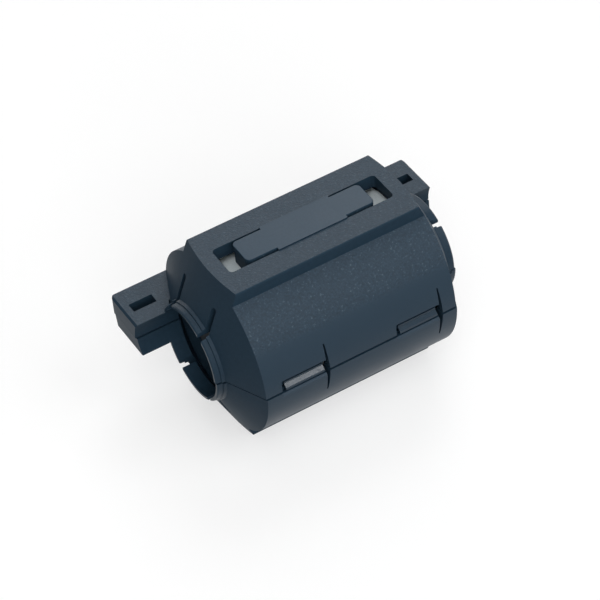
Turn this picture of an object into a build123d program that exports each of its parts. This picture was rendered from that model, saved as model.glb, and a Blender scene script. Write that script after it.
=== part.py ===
from build123d import *

import math
import os

# A clamp-on split ferrite core: two ferrite half rings in a hinged moulded case.
# X runs along the cable, -Y is the latch side, +Y the hinge side and +Z is up.
# The origin is the middle of the cable bore, on the parting plane. All sizes are in millimetres.

# Case: a round barrel, closed at both ends by cones that end in cable collars
barrel_radius = 14.0
barrel_half_length = 15.7
barrel_wall = 1.7
cone_run = 0.458  # how far the end cone runs out for each millimetre that it closes in
cone_wall = 1.1
case_edge_round = 0.2
parting_gap = 0.2
play_along = 0.2  # the lower shell stands this much towards +X of the upper one
play_down = 0.2  # and this much lower

# Collars: a narrow ring and a rim, cut into petals by upright slots
collar_root_radius = 7.75
collar_bore_radius = 6.9
collar_half_length = 19.95
collar_ring_drop = 0.28
collar_ring_length = 0.5
petal_slot_width = 0.9
petal_slot_reach = 10.4
upper_slot_places = (4.4, -3.85)
lower_slot_places = (4.0, -4.0)

# Blocks: the flat plateau on top and the flat base underneath
block_rise = 0.2
block_half_width = 6.75
block_flare = 0.2
block_edge_round = 0.25

# Ferrite core, as two half rings with their flat faces together, held clear of the wall by ribs
core_clearance = 0.2
core_end_clearance = 0.1
core_half_length = 14.2
core_bore_radius = 5.5
core_edge_chamfer = 0.4
core_shoulder = 0.8  # how far the case's end wall reaches in over the core's end
core_rib_height = 0.9
core_rib_width = 1.2
core_rib_angles = (-60, -30, 30, 60)  # either side of straight up, and of straight down

# Top window with a raised pad and two spring tongues
window_half_length = 13.35
window_half_width = 2.7
window_corner_radius = 0.6
tongue_half_width = 2.3
tongue_root = 5.6
tongue_tip = 10.45
tongue_corner_radius = 0.8
tongue_thickness = 1.1
tongue_rise = 0.2
pad_lap = 0.05  # how far the pad laps over the window's long edges
presser_length = 1.0
presser_inset = 0.1  # from the tongue's tip and from its long edges
presser_clearance = 0.1

# Latches: a tongue of the lower shell stands in an open pocket of the upper shell
latch_pitch = 18.8
latch_pocket_left = -13.05
latch_pocket_length = 7.35
latch_pocket_height = 1.95
latch_pocket_depth = 1.15
latch_pocket_round = 0.25
latch_side_gap = 0.75
latch_length = 6.25
latch_top = 0.9
latch_lip = 0.2
latch_thickness = 0.45
latch_nose = 0.25
latch_nose_low = -0.4
latch_nose_ease = 0.1
latch_ramp_from = 0.6
latch_ramp_to = 0.1
latch_back_gap = 0.15
latch_groove_floor = -0.62
latch_lip_chamfer = 0.3

# Tapered slits beside the latches
slit_place = 7.4  # from the pocket's left end to the slit's tip
slit_mouth = 0.6
slit_tip = 0.2
slit_side_step = 0.12
slit_height = 4.55
slit_depth = 4.4

# Ears, split at the parting plane like the case
ear_reach = 24.85
ear_front = 5.95
ear_back = 13.6
ear_thickness = 3.15
ear_inner_round = 1.8
ear_corner_round = 0.6
ear_front_corner_round = 0.4
ear_end_chamfer = 0.3
ear_collar_lap = 0.5
ear_root_step = 1.0
lower_ear_inset = 0.1
lower_ear_back = 14.1
lower_ear_thickness = 2.95
lower_ear_draft = 3.0
tie_slot_length = 3.7
tie_slot_width = 1.65
tie_slot_end_land = 1.27  # between the slot and the ear's end
tie_slot_front_land = 2.9  # between the slot and the ear's front

# Living hinge at the back
hinge_half_length = 12.0
hinge_thickness = 0.35
hinge_land_rise = 0.2
hinge_land_height = 1.6
hinge_seat_from = 0.6
hinge_seat_to = 1.4
hinge_bow = 0.45

# Sizes that follow from the ones above
pocket_radius = barrel_radius - barrel_wall
rib_crest_radius = pocket_radius - core_rib_height
core_outer_radius = rib_crest_radius - core_clearance
pocket_half_length = core_half_length + core_end_clearance
shoulder_radius = core_outer_radius - core_shoulder
block_half_height = barrel_radius + block_rise
half_gap = parting_gap / 2
hinge_land = barrel_radius + hinge_land_rise
latch_back = -(barrel_radius - latch_pocket_depth + latch_back_gap)
latch_front = latch_back - latch_thickness
tie_slot_x = ear_reach - tie_slot_end_land - tie_slot_length / 2
tie_slot_y = ear_front + tie_slot_front_land + tie_slot_width / 2
lower_place = Pos(play_along, 0, -play_down)
far = 3 * barrel_radius  # well outside the case
overrun = 1.0  # how far a cutter runs past the face that it opens


def cone_x(radius, back=0.0):
    """Where the end cone stands at a radius, or its inner face when set back by a wall."""
    lean = math.hypot(1.0, cone_run)
    return barrel_half_length + cone_run * (barrel_radius - radius) - back * lean


def both_ends(points):
    """A closed outline of (x, radius) points at +X, mirrored to -X."""
    return points + [(-x, radius) for x, radius in reversed(points)]


def turned(points):
    """The solid swept when a closed (x, radius) outline turns once about the cable axis."""
    return revolve(make_face(Polyline(*points, close=True)), Axis.X, 360)


def along_x(face, start, end):
    """A sketch of (y, z) points, drawn out from one x to another."""
    return extrude(Plane.YZ.offset(start) * face, amount=end - start)


def span(low, high):
    """A box between two corners."""
    size = [b - a for a, b in zip(low, high)]
    middle = [(a + b) / 2 for a, b in zip(low, high)]
    return Pos(*middle) * Box(*size)


def end_form():
    """The cones and collars as one turned form, wide enough to trim the blocks too."""
    ring_radius = collar_root_radius - collar_ring_drop
    ring_end = cone_x(collar_root_radius) + collar_ring_length
    rim_round = case_edge_round
    corner = math.hypot(block_half_width, block_half_height) + overrun
    outline = [
        (cone_x(corner), corner),
        (cone_x(collar_root_radius), collar_root_radius),
        (ring_end, collar_root_radius - rim_round / 4),
        (ring_end + rim_round / 4, ring_radius),
        (collar_half_length - rim_round, ring_radius - rim_round / 4),
        (collar_half_length, ring_radius - rim_round),
        (collar_half_length, 0),
    ]
    return turned(both_ends(outline))


def case_section():
    """The round barrel with the flat blocks above and below it, seen along the cable."""
    foot = block_half_width + block_flare
    section = Circle(barrel_radius)
    for side in (1, -1):
        top = block_half_height * side
        block = make_face(
            Polyline(
                (-block_half_width, top),
                (block_half_width, top),
                (foot, 0),
                (-foot, 0),
                close=True,
            )
        )
        corners = block.vertices().group_by(Axis.Y)[-1 if side > 0 else 0]
        section += fillet(corners, block_edge_round)
    return section


def ear_outline(inset=0.0, back=ear_back):
    """One ear seen from above, at +X, with its inner corner rounded clear of the collar."""
    root = barrel_half_length - ear_root_step
    end = ear_reach - inset
    front = ear_front + inset
    inner = collar_half_length - ear_collar_lap
    outline = make_face(
        Polyline(
            (root, back),
            (end, back),
            (end, front),
            (inner, front),
            (inner - ear_root_step, front + 2 * ear_root_step),
            (root, front + 3 * ear_root_step),
            close=True,
        )
    )
    outline = fillet(outline.vertices().sort_by_distance((inner, front))[0], ear_inner_round)
    outline = fillet(outline.vertices().sort_by_distance((end, back))[0], ear_corner_round)
    return fillet(outline.vertices().sort_by_distance((end, front))[0], ear_front_corner_round)


def upper_ears():
    """The upper halves of both ears, bevelled along their outer top edge."""
    side_view = make_face(
        Polyline(
            (0, half_gap),
            (ear_reach, half_gap),
            (ear_reach, ear_thickness - ear_end_chamfer),
            (ear_reach - ear_end_chamfer, ear_thickness),
            (0, ear_thickness),
            close=True,
        )
    )
    # The XZ plane's normal points to -Y, so the side view is drawn out both ways
    ear = extrude(ear_outline(), amount=far) & extrude(Plane.XZ * side_view, amount=far, both=True)
    return ear + mirror(ear, Plane.YZ)


def lower_ears():
    """The lower halves of both ears, drafted, and deeper at the back than the upper ones."""
    outline = Pos(0, 0, -half_gap) * ear_outline(lower_ear_inset, lower_ear_back)
    ear = extrude(outline, amount=-(lower_ear_thickness - half_gap), taper=lower_ear_draft)
    return ear + mirror(ear, Plane.YZ)


def tie_slots():
    """The slots through both ears."""
    slot = Box(tie_slot_length, tie_slot_width, far)
    return [Pos(x, tie_slot_y, 0) * slot for x in (-tie_slot_x, tie_slot_x)]


def core_pocket():
    """The round pocket that holds the core."""
    return Rot(0, 90, 0) * Cylinder(pocket_radius, 2 * pocket_half_length)


def core_ribs(side):
    """The ribs along the pocket that carry the core, in the upper (1) or lower (-1) shell."""
    depth = core_rib_height + barrel_wall / 2
    rib = Box(2 * pocket_half_length, core_rib_width, depth)
    rib = Pos(0, 0, rib_crest_radius + depth / 2) * rib
    straight = 0 if side > 0 else 180
    return [Rot(straight + angle, 0, 0) * rib for angle in core_rib_angles]


def end_hollows():
    """What is hollow beyond the core: behind the cones and through the collars."""
    outline = [
        (cone_x(shoulder_radius, cone_wall), shoulder_radius),
        (cone_x(collar_bore_radius, cone_wall), collar_bore_radius),
        (far, collar_bore_radius),
        (far, 0),
    ]
    return turned(both_ends(outline))


def petal_slots(places):
    """The upright slots that divide each collar into petals."""
    cutters = []
    start = cone_x(shoulder_radius, cone_wall) - case_edge_round
    outline = SlotOverall(2 * petal_slot_reach, petal_slot_width, rotation=90)
    for y in places:
        slot = along_x(Pos(y, 0) * outline, start, far)
        cutters += [slot, mirror(slot, Plane.YZ)]
    return cutters


def case_form():
    """The whole case as one closed form, before it is parted."""
    form = along_x(case_section(), -far, far) & end_form()
    land = span(
        (-hinge_half_length, 0, -hinge_land_height),
        (hinge_half_length, hinge_land, hinge_land_height),
    )
    return form + land


def latch_starts():
    """The x of each latch pocket's left end."""
    return [latch_pocket_left, latch_pocket_left + latch_pitch]


def latch_pockets():
    """The open pockets in the upper shell's front edge."""
    cutters = []
    back = barrel_radius - latch_pocket_depth
    for left in latch_starts():
        pocket = span(
            (left, -far, -overrun),
            (left + latch_pocket_length, -back, latch_pocket_height),
        )
        upper_corners = pocket.edges().filter_by(Axis.Y).group_by(Axis.Z)[-1]
        cutters.append(fillet(upper_corners, latch_pocket_round))
    return cutters


def latch_tongues():
    """The latch tongues of the lower shell: a nose with a sloping ramp, under a thin lip."""
    root = 2 * latch_groove_floor
    lip_front = latch_back - latch_lip
    nose_front = latch_front - latch_nose
    face = make_face(
        Polyline(
            (latch_back, latch_top),
            (latch_back, root),
            (latch_front, root),
            (latch_front, latch_nose_low),
            (nose_front, latch_nose_low + latch_nose_ease),
            (nose_front, latch_ramp_to),
            (lip_front, latch_ramp_from),
            (lip_front, latch_top),
            close=True,
        )
    )
    starts = [left + latch_side_gap for left in latch_starts()]
    return [along_x(face, start, start + latch_length) for start in starts]


def latch_reliefs():
    """The gap beside each tongue, and the groove and bevelled lip in front of it."""
    floor = latch_groove_floor
    lip = latch_lip_chamfer
    groove = make_face(
        Polyline(
            (-far, barrel_radius),
            (-far, floor - lip),
            (-barrel_radius, floor - lip),
            (-barrel_radius + lip, floor),
            (latch_front, floor),
            (latch_front, barrel_radius),
            close=True,
        )
    )
    cutters = []
    for left in latch_starts():
        cutters.append(along_x(groove, left, left + latch_pocket_length))
        cutters.append(span((left, -far, floor), (left + latch_side_gap, latch_back, barrel_radius)))
    return cutters


def slits(side):
    """The tapered slits through the front wall, up (side 1) or down (side -1)."""
    length = slit_height if side > 0 else slit_depth
    start = -side * 2 * play_down
    cutters = []
    for left in latch_starts():
        tip = left + slit_place
        mouth = tip + slit_side_step
        outline = make_face(
            Polyline(
                (mouth - slit_mouth / 2, start),
                (mouth + slit_mouth / 2, start),
                (tip + slit_tip / 2, side * length),
                (tip - slit_tip / 2, side * length),
                close=True,
            )
        )
        # Drawn on the XZ plane, whose normal points to -Y, and taken through the wall
        cutters.append(extrude(Plane.XZ.offset(pocket_radius - overrun) * outline, amount=far))
    return cutters


def windows():
    """The two openings in the plateau, one beyond each end of the central pad."""
    length = window_half_length - tongue_root
    face = Rectangle(length, 2 * window_half_width)
    outer_corners = face.vertices().group_by(Axis.X)[-1]
    face = fillet(outer_corners, window_corner_radius)
    opening = extrude(Pos(tongue_root + length / 2, 0, 0) * face, amount=far)
    return [opening, mirror(opening, Plane.YZ)]


def spring_tongues():
    """The two tongues that spring from the pad, each with a rib that presses on the core."""
    top = block_half_height + tongue_rise
    face = fillet(Rectangle(2 * tongue_tip, 2 * tongue_half_width).vertices(), tongue_corner_radius)
    bar = Pos(0, 0, top - tongue_thickness) * extrude(face, amount=tongue_thickness)
    bar = fillet(bar.faces().sort_by(Axis.Z)[-1].edges(), block_edge_round / 2)
    pad_half_width = window_half_width + pad_lap
    pad = span(
        (-tongue_root, -pad_half_width, top - tongue_thickness),
        (tongue_root, pad_half_width, top),
    )
    end = tongue_tip - presser_inset
    half_width = tongue_half_width - presser_inset
    presser = span(
        (end - presser_length, -half_width, core_outer_radius + presser_clearance),
        (end, half_width, top - tongue_thickness / 2),
    )
    tip_corners = presser.edges().filter_by(Axis.Z).group_by(Axis.X)[-1]
    presser = fillet(tip_corners, tongue_corner_radius)
    return [bar, pad, presser, mirror(presser, Plane.YZ)]


def half_space(side):
    """Everything above (side 1) or below (side -1) the parting gap."""
    low, high = (half_gap, far) if side > 0 else (-far, -half_gap)
    return span((-far, -far, low), (far, far, high))


def upper_shell():
    shell = (case_form() & half_space(1)) + upper_ears()
    shell -= end_hollows()
    shell -= core_pocket()
    shell += core_ribs(1)
    shell -= petal_slots(upper_slot_places)
    shell -= windows()
    shell += spring_tongues()
    shell -= latch_pockets()
    shell -= slits(1)
    shell -= tie_slots()
    return shell


def lower_shell():
    shell = (case_form() & half_space(-1)) + lower_ears()
    shell -= end_hollows()
    shell -= petal_slots(lower_slot_places)
    shell = lower_place * shell
    shell -= core_pocket()
    shell += core_ribs(-1)
    shell -= latch_reliefs()
    shell += latch_tongues()
    shell -= slits(-1)
    shell -= tie_slots()
    return shell


def half_core(side):
    """One ferrite half ring, with its long edges and ends eased."""
    ease = core_edge_chamfer
    outline = [
        (core_half_length - ease, core_outer_radius),
        (core_half_length, core_outer_radius - ease),
        (core_half_length, core_bore_radius + ease),
        (core_half_length - ease, core_bore_radius),
    ]
    ring = turned(both_ends(outline))
    low, high = (0, far) if side > 0 else (-far, 0)
    return ring & span((-far, -far, low), (far, far, high))


def living_hinge():
    """The thin web that joins the shells, bowed out round the hinge line."""
    inner = hinge_land
    outer = inner + hinge_thickness
    wall = Polyline((inner, hinge_seat_from), (inner, hinge_seat_to), (outer, hinge_seat_to))
    wall += Line((outer, hinge_seat_to), (outer, hinge_seat_from))
    wall += ThreePointArc(
        (outer, hinge_seat_from), (outer + hinge_bow, 0), (outer, -hinge_seat_from)
    )
    wall += Polyline(
        (outer, -hinge_seat_from),
        (outer, -hinge_seat_to),
        (inner, -hinge_seat_to),
        (inner, -hinge_seat_from),
    )
    wall += ThreePointArc(
        (inner, -hinge_seat_from), (inner + hinge_bow, 0), (inner, hinge_seat_from)
    )
    return along_x(make_face(wall), -hinge_half_length, hinge_half_length)


parts = {
    "lower_shell": lower_shell(),
    "upper_shell": upper_shell(),
    "lower_core": half_core(-1),
    "upper_core": half_core(1),
    "living_hinge": living_hinge(),
}

os.makedirs("parts", exist_ok=True)
for name, shape in parts.items():
    export_step(shape, f"parts/{name}.step")
    print(name, len(shape.solids()), "solid", round(shape.volume, 1), "mm3")
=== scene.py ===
import math

import bmesh
import bpy
from mathutils import Matrix, Vector


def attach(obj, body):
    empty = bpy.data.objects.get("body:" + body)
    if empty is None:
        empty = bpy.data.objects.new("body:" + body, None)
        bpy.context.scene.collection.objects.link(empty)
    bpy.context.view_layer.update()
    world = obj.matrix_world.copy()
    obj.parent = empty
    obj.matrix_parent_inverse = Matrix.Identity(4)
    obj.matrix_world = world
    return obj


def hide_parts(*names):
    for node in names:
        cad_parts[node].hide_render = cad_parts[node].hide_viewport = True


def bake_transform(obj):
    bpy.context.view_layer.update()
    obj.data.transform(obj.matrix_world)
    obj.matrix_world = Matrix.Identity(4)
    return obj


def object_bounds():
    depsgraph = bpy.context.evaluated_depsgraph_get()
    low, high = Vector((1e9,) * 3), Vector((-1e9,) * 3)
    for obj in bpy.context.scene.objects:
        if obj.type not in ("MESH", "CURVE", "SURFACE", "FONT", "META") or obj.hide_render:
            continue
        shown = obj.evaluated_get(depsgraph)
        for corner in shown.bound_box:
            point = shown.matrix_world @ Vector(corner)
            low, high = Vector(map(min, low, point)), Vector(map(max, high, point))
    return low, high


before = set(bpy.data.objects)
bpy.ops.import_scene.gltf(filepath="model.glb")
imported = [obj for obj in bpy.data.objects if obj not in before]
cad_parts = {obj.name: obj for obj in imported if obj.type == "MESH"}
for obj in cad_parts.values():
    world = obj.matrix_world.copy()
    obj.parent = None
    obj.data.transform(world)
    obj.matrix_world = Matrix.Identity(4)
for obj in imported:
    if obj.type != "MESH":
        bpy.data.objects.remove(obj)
cad_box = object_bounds()

MM = 0.001

# Camera, found by matching the part's corners to the photograph
CAMERA_AZIMUTH = -27.62
CAMERA_ELEVATION = 44.86
CAMERA_ROLL = -5.50
CAMERA_DISTANCE = 384.0 * MM
CAMERA_RIGHT = -1.425 * MM
CAMERA_UP = -0.69 * MM
CAMERA_LENS = 161.1
SENSOR_WIDTH = 36.0

# Soft studio lamps: name, azimuth from the latch side towards +X, elevation and strength
LAMP_SPREAD = math.radians(30)
LAMPS = [
    ("front_left", -18, 26, 1.00),
    ("back_right", 135, 46, 0.75),
    ("right", 48, 48, 0.60),
    ("right_low", 40, 20, 0.30),
    ("left", -45, 46, 0.50),
    ("left_high", -36, 66, 0.41),
    ("back", 162, 26, 0.34),
    ("front", -2, 46, 0.25),
    ("front_low", -6, 8, 0.30),
    ("top_back", 180, 66, 0.20),
    ("overhead", 0, 88, 0.33),
]

# A small lamp close by, mirrored by the left latch's ramp: its direction and distance from there
LATCH_LAMP_AIM = (-9.2 * MM, -13.45 * MM, 0.35 * MM)
LATCH_LAMP_AZIMUTH = 23.4
LATCH_LAMP_ELEVATION = 37.7
LATCH_LAMP_DISTANCE = 150 * MM
LATCH_LAMP_RADIUS = 9 * MM
LATCH_LAMP_WATTS = 0.011

# Floor and sky: the lift brings the grey floor up to white where it is only seen
FLOOR_HALF_SIZE = 1000 * MM
FLOOR_TONE = 0.42
FLOOR_LIFT = 0.58
SKY_GLOW = 0.02

# Mesh finish: welded, with real rounds along the sharp edges
WELD_DISTANCE = 0.002 * MM
FLAT_ANGLE = math.radians(0.6)
SHARP_ANGLE = math.radians(28)
CASE_EDGE_ROUND = 0.11 * MM
CORE_EDGE_ROUND = 0.08 * MM
EDGE_SEGMENTS = 2

# Places in the lists of materials
FLAT_GRAIN, BARREL_GRAIN, SMOOTH, EAR, LATCH, PAD, COLLAR = range(7)
CORE_PAINTED_LIT, CORE_BODY = range(2)

# Where the mould is grained and where it is smooth
BARREL_RADIUS = 14.0 * MM
BARREL_HALF_LENGTH = 15.7 * MM
BARREL_TOLERANCE = 0.3 * MM
GRAIN_FADE = (6.2 * MM, 7.6 * MM)  # the heights between which the barrel's grain fades in
EAR_TOP = 3.0 * MM
PAD_TOP = 14.3 * MM
FACING_UP = 0.95

# Latch tongues and collars, which are polished, and where the ears begin
LATCH_FRONT = -12.95 * MM
LATCH_REACH = 13.8 * MM
LATCH_HEIGHTS = (-0.5 * MM, 1.0 * MM)
COLLAR_FROM = 18.6 * MM
COLLAR_RADIUS = 8.0 * MM
EAR_FRONT = 5.9 * MM

# The core's outer skin, whose light grey is painted light
CORE_PAINTED_LIT_RADIUS = 11.05 * MM

# Most that a face may lean to the part's ends and still count as barrel or as skin
BARREL_LEAN = 0.1
SKIN_LEAN = 0.5

# Grain: its noise, how far that spreads about the middle for tone and for the bright specks on its
# peaks, and the specks' tone; the specks are painted glints, a painted highlight of the grain's
# sparkle
GRAIN_DETAIL = 4.0
GRAIN_ROUGHNESS = 0.6
NOISE_MIDDLE = 0.5
GRAIN_SPREAD = 0.12
GLINT_SPREAD = 1.5 * GRAIN_SPREAD
PAINTED_GLINT_TONE = (0.045, 0.055, 0.055)

# Uneven sheen: the size of its patches and how far the roughness swings
SHEEN_SIZE = 4 * MM
SHEEN_DETAIL = 3.0
SHEEN_SWING = 0.05

# Plastic and ferrite
CASE_COLOUR = (0.0138, 0.0300, 0.0480)
CASE_GLOSS = 0.20
BARREL_GLOSS = 0.19
SMOOTH_GLOSS = 0.06
COLLAR_GLOSS = 0.11
PAD_COLOUR = (0.0170, 0.0380, 0.0610)
# The outer skin's light grey is painted light: a lit copy of the dark ferrite, for the light that
# falls on the core in the windows
FERRITE_PAINTED_LIT = (0.62, 0.69, 0.71)
FERRITE_COLOUR = (0.10, 0.11, 0.12)


def direction(azimuth, elevation):
    """The unit vector to an azimuth, from the latch side towards +X, and an elevation in degrees."""
    turn, lift = math.radians(azimuth), math.radians(elevation)
    return Vector((
        math.sin(turn) * math.cos(lift),
        -math.cos(turn) * math.cos(lift),
        math.sin(lift),
    ))


def make_camera():
    back = direction(CAMERA_AZIMUTH, CAMERA_ELEVATION)
    level = Vector((0, 0, 1)).cross(back).normalized()
    upright = back.cross(level)
    roll = math.radians(CAMERA_ROLL)
    right = math.cos(roll) * level + math.sin(roll) * upright
    up = -math.sin(roll) * level + math.cos(roll) * upright
    eye = back * CAMERA_DISTANCE + right * CAMERA_RIGHT + up * CAMERA_UP
    data = bpy.data.cameras.new("camera")
    data.lens = CAMERA_LENS
    data.sensor_width = SENSOR_WIDTH
    data.clip_start = 1 * MM
    camera = bpy.data.objects.new("camera", data)
    turn = Matrix((right, up, back)).transposed()
    camera.matrix_world = Matrix.Translation(eye) @ turn.to_4x4()
    bpy.context.scene.collection.objects.link(camera)
    bpy.context.scene.camera = camera


def add_lamp(name, kind, strength, towards, place=(0, 0, 0)):
    data = bpy.data.lights.new(name, kind)
    data.energy = strength
    lamp = bpy.data.objects.new(name, data)
    turn = towards.to_track_quat("Z", "Y").to_matrix().to_4x4()
    lamp.matrix_world = Matrix.Translation(place) @ turn
    bpy.context.scene.collection.objects.link(lamp)
    return data


def make_lamps():
    for name, azimuth, elevation, strength in LAMPS:
        data = add_lamp(name, "SUN", strength, direction(azimuth, elevation))
        data.angle = LAMP_SPREAD
    towards = direction(LATCH_LAMP_AZIMUTH, LATCH_LAMP_ELEVATION)
    place = Vector(LATCH_LAMP_AIM) + LATCH_LAMP_DISTANCE * towards
    data = add_lamp("latch_light", "AREA", LATCH_LAMP_WATTS, towards, place)
    data.shape = "DISK"
    data.size = 2 * LATCH_LAMP_RADIUS


class Nodes:
    """A short way to write a material's or the world's node tree."""

    def __init__(self, owner):
        owner.use_nodes = True
        self.tree = owner.node_tree
        self.tree.nodes.clear()

    def add(self, kind, inputs=None, **settings):
        """A new node with its settings; a linked input is given as another node's output."""
        node = self.tree.nodes.new(kind)
        for name, value in settings.items():
            setattr(node, name, value)
        for name, value in (inputs or {}).items():
            socket = node.inputs[name]
            if isinstance(value, bpy.types.NodeSocket):
                self.tree.links.new(value, socket)
            else:
                socket.default_value = value
        return node

    def maths(self, operation, first, second):
        """The result of one sum on two values."""
        inputs = {0: first, 1: second}
        return self.add("ShaderNodeMath", inputs, operation=operation).outputs[0]

    def scaled(self, colour, factor):
        """A colour times a factor."""
        inputs = {0: colour, "Scale": factor}
        return self.add("ShaderNodeVectorMath", inputs, operation="SCALE").outputs[0]


def seen(work):
    """1 for what the camera sees, straight or through a reflection, and 0 for light on the object."""
    rays = work.add("ShaderNodeLightPath").outputs
    mirrored = work.maths("MAXIMUM", rays["Is Glossy Ray"], rays["Is Transmission Ray"])
    return work.maths("MAXIMUM", rays["Is Camera Ray"], mirrored)


def make_sky():
    """White to the camera, and a faint even glow on the object."""
    world = bpy.data.worlds.new("studio")
    sky = Nodes(world)
    glow = sky.add("ShaderNodeBackground", {"Strength": SKY_GLOW})
    white = sky.add("ShaderNodeBackground", {"Color": (1, 1, 1, 1), "Strength": 1.0})
    mix = sky.add("ShaderNodeMixShader", {0: seen(sky), 1: glow.outputs[0], 2: white.outputs[0]})
    sky.add("ShaderNodeOutputWorld", {"Surface": mix.outputs[0]})
    bpy.context.scene.world = world


def make_floor():
    """A plain pale floor that looks white from the camera and keeps a faint shadow."""
    size, low = FLOOR_HALF_SIZE, cad_box[0][2]
    mesh = bpy.data.meshes.new("floor")
    corners = [(-size, -size, low), (size, -size, low), (size, size, low), (-size, size, low)]
    mesh.from_pydata(corners, [], [(0, 1, 2, 3)])
    floor = bpy.data.objects.new("floor", mesh)
    bpy.context.scene.collection.objects.link(floor)
    material = bpy.data.materials.new("floor")
    pale = Nodes(material)
    tone = (FLOOR_TONE, FLOOR_TONE, FLOOR_TONE, 1)
    matt = pale.add("ShaderNodeBsdfDiffuse", {"Color": tone})
    lift = pale.maths("MULTIPLY", seen(pale), FLOOR_LIFT)
    glow = pale.add("ShaderNodeEmission", {"Color": (1, 1, 1, 1), "Strength": lift})
    both = pale.add("ShaderNodeAddShader", {0: matt.outputs[0], 1: glow.outputs[0]})
    pale.add("ShaderNodeOutputMaterial", {"Surface": both.outputs[0]})
    mesh.materials.append(material)


def moulded(
    name,
    colour,
    roughness,
    grain_size,
    grain_depth,
    gloss=CASE_GLOSS,
    mottle=0.05,
    glints=0.0,
    fade=None,
):
    """Moulded or fired material: fine grain with bright specks on its peaks, which are painted
    glints, and an uneven sheen.

    With fade, the grain grows in between those two heights.
    """
    material = bpy.data.materials.new(name)
    work = Nodes(material)
    place = work.add("ShaderNodeTexCoord").outputs["Object"]
    noise = work.add("ShaderNodeTexNoise", {
        "Vector": place,
        "Scale": 1 / grain_size,
        "Detail": GRAIN_DETAIL,
        "Roughness": GRAIN_ROUGHNESS,
    })
    grain = work.maths("SUBTRACT", noise.outputs[0], NOISE_MIDDLE)
    if fade:
        level = work.add("ShaderNodeSeparateXYZ", {"Vector": place}).outputs["Z"]
        ramp = {"Value": level, "From Min": fade[0], "From Max": fade[1]}
        mask = work.add("ShaderNodeMapRange", ramp, interpolation_type="SMOOTHSTEP")
        grain = work.maths("MULTIPLY", grain, mask.outputs[0])
    bump = work.add("ShaderNodeBump", {
        "Height": grain,
        "Distance": grain_depth,
        "Strength": 1.0,
    })
    tone = work.add("ShaderNodeMapRange", {
        "Value": grain,
        "From Min": -GRAIN_SPREAD,
        "From Max": GRAIN_SPREAD,
        "To Min": 1 - mottle,
        "To Max": 1 + mottle,
    })
    # Bright specks where the grain peaks: painted glints, standing in for the grain's sparkle of
    # light
    glint = work.add("ShaderNodeMapRange", {
        "Value": grain,
        "From Min": GRAIN_SPREAD,
        "From Max": GLINT_SPREAD,
        "To Min": 0.0,
        "To Max": glints,
    })
    ground = work.scaled(colour, tone.outputs[0])
    # The painted glints are added onto the ground colour
    painted_glints = work.scaled(PAINTED_GLINT_TONE, glint.outputs[0])
    surface = work.add("ShaderNodeVectorMath", {0: ground, 1: painted_glints}, operation="ADD")
    drift = work.add("ShaderNodeTexNoise", {
        "Vector": place,
        "Scale": 1 / SHEEN_SIZE,
        "Detail": SHEEN_DETAIL,
    })
    sheen = work.add("ShaderNodeMapRange", {
        "Value": drift.outputs[0],
        "To Min": roughness - SHEEN_SWING,
        "To Max": roughness + SHEEN_SWING,
    })
    shader = work.add("ShaderNodeBsdfPrincipled", {
        "Base Color": surface.outputs[0],
        "Roughness": sheen.outputs[0],
        "Specular IOR Level": gloss,
        "Normal": bump.outputs[0],
    })
    work.add("ShaderNodeOutputMaterial", {"Surface": shader.outputs[0]})
    return material


def case_region(centre, normal):
    """Which of the case's materials a face has, by its place at rest."""
    radius, reach = math.hypot(centre.y, centre.z), abs(centre.x)
    if centre.y < LATCH_FRONT and LATCH_HEIGHTS[0] < centre.z < LATCH_HEIGHTS[1]:
        if reach < BARREL_HALF_LENGTH and radius < LATCH_REACH:
            return LATCH
    if reach > COLLAR_FROM and radius < COLLAR_RADIUS and centre.y < EAR_FRONT:
        return COLLAR
    if normal.z > FACING_UP and centre.z > PAD_TOP:
        return PAD
    if normal.z > FACING_UP and centre.z > EAR_TOP:
        return FLAT_GRAIN
    if reach > COLLAR_FROM and radius > COLLAR_RADIUS and centre.y > EAR_FRONT:
        return EAR
    on_barrel = abs(radius - BARREL_RADIUS) < BARREL_TOLERANCE
    if on_barrel and reach < BARREL_HALF_LENGTH and abs(normal.x) < BARREL_LEAN:
        return BARREL_GRAIN
    return SMOOTH


def core_region(centre, normal):
    """The core's outer skin, painted light grey as painted light, or its darker ends, bore and mating
    faces.
    """
    outside = math.hypot(centre.y, centre.z) > CORE_PAINTED_LIT_RADIUS
    return CORE_PAINTED_LIT if outside and abs(normal.x) < SKIN_LEAN else CORE_BODY


def web_region(centre, normal):
    """The hinge web is smooth all over."""
    return SMOOTH


def dressed(node, name, materials, choose, round_width):
    """A welded copy of a CAD node with rounded edges and a material for each region."""
    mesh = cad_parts[node].data.copy()
    mesh.name = name
    mesh.materials.clear()
    for material in materials:
        mesh.materials.append(material)
    work = bmesh.new()
    work.from_mesh(mesh)
    bmesh.ops.remove_doubles(work, verts=work.verts, dist=WELD_DISTANCE)
    bmesh.ops.dissolve_limit(
        work,
        angle_limit=FLAT_ANGLE,
        verts=work.verts,
        edges=work.edges,
    )
    for face in work.faces:
        face.smooth = True
        face.material_index = choose(face.calc_center_median(), face.normal)
    work.to_mesh(mesh)
    work.free()
    piece = bpy.data.objects.new(name, mesh)
    bpy.context.scene.collection.objects.link(piece)
    bevel = piece.modifiers.new("edges", "BEVEL")
    bevel.width = round_width
    bevel.segments = EDGE_SEGMENTS
    bevel.limit_method = "ANGLE"
    bevel.angle_limit = SHARP_ANGLE
    bevel.face_strength_mode = "FSTR_ALL"
    shade = piece.modifiers.new("shade", "WEIGHTED_NORMAL")
    shade.mode = "CORNER_ANGLE"
    shade.use_face_influence = True
    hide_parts(node)
    return piece


make_camera()
bpy.context.scene.view_settings.view_transform = "Standard"
make_lamps()
make_sky()
make_floor()

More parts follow.
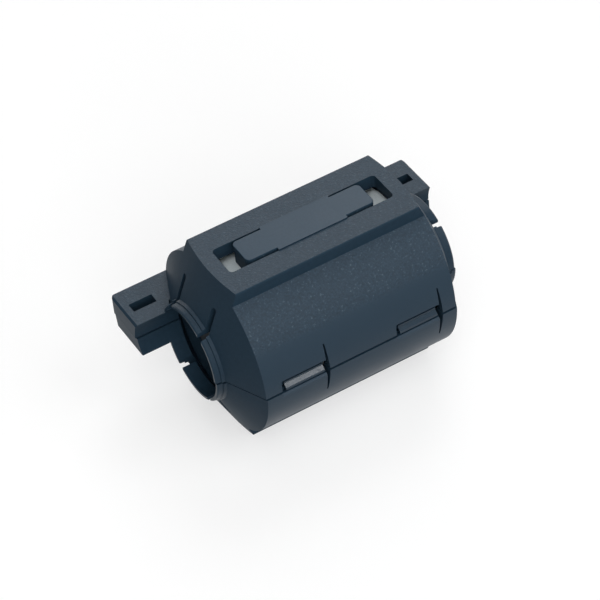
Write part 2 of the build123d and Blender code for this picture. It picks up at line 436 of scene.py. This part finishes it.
# Materials, in the order of their places in the lists
case_materials = [
    moulded(
        "case_top",
        CASE_COLOUR,
        roughness=0.40,
        grain_size=0.30 * MM,
        grain_depth=0.07 * MM,
        mottle=0.16,
        glints=0.5,
    ),
    moulded(
        "case_barrel",
        CASE_COLOUR,
        roughness=0.41,
        grain_size=0.30 * MM,
        grain_depth=0.09 * MM,
        gloss=BARREL_GLOSS,
        mottle=0.22,
        glints=0.8,
        fade=GRAIN_FADE,
    ),
    moulded(
        "case_smooth",
        CASE_COLOUR,
        roughness=0.50,
        grain_size=0.50 * MM,
        grain_depth=0.004 * MM,
        gloss=SMOOTH_GLOSS,
    ),
    moulded(
        "case_ear",
        CASE_COLOUR,
        roughness=0.42,
        grain_size=0.50 * MM,
        grain_depth=0.004 * MM,
        gloss=SMOOTH_GLOSS,
    ),
    moulded(
        "case_latch",
        CASE_COLOUR,
        roughness=0.14,
        grain_size=1.20 * MM,
        grain_depth=0.020 * MM,
    ),
    moulded(
        "case_pad",
        PAD_COLOUR,
        roughness=0.36,
        grain_size=0.40 * MM,
        grain_depth=0.010 * MM,
    ),
    moulded(
        "case_collar",
        CASE_COLOUR,
        roughness=0.33,
        grain_size=0.60 * MM,
        grain_depth=0.010 * MM,
        gloss=COLLAR_GLOSS,
    ),
]
core_materials = [
    # The outer skin: painted light, a lit copy of the dark ferrite below
    moulded(
        "ferrite_painted_lit",
        FERRITE_PAINTED_LIT,
        roughness=0.45,
        grain_size=0.2 * MM,
        grain_depth=0.008 * MM,
    ),
    moulded(
        "ferrite",
        FERRITE_COLOUR,
        roughness=0.5,
        grain_size=0.2 * MM,
        grain_depth=0.01 * MM,
        mottle=0.1,
    ),
]

# Each half of the case with its half of the core
for body, half in (("base", "lower"), ("lid", "upper")):
    moulding = dressed(
        f"{half}_shell",
        f"{half}_shell_moulding",
        case_materials,
        case_region,
        CASE_EDGE_ROUND,
    )
    ring = dressed(
        f"{half}_core",
        f"{half}_core_ring",
        core_materials,
        core_region,
        CORE_EDGE_ROUND,
    )
    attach(moulding, body)
    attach(ring, body)

# The hinge web between the two halves
web = dressed(
    "living_hinge",
    "living_hinge_web",
    case_materials,
    web_region,
    CORE_EDGE_ROUND,
)
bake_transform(web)
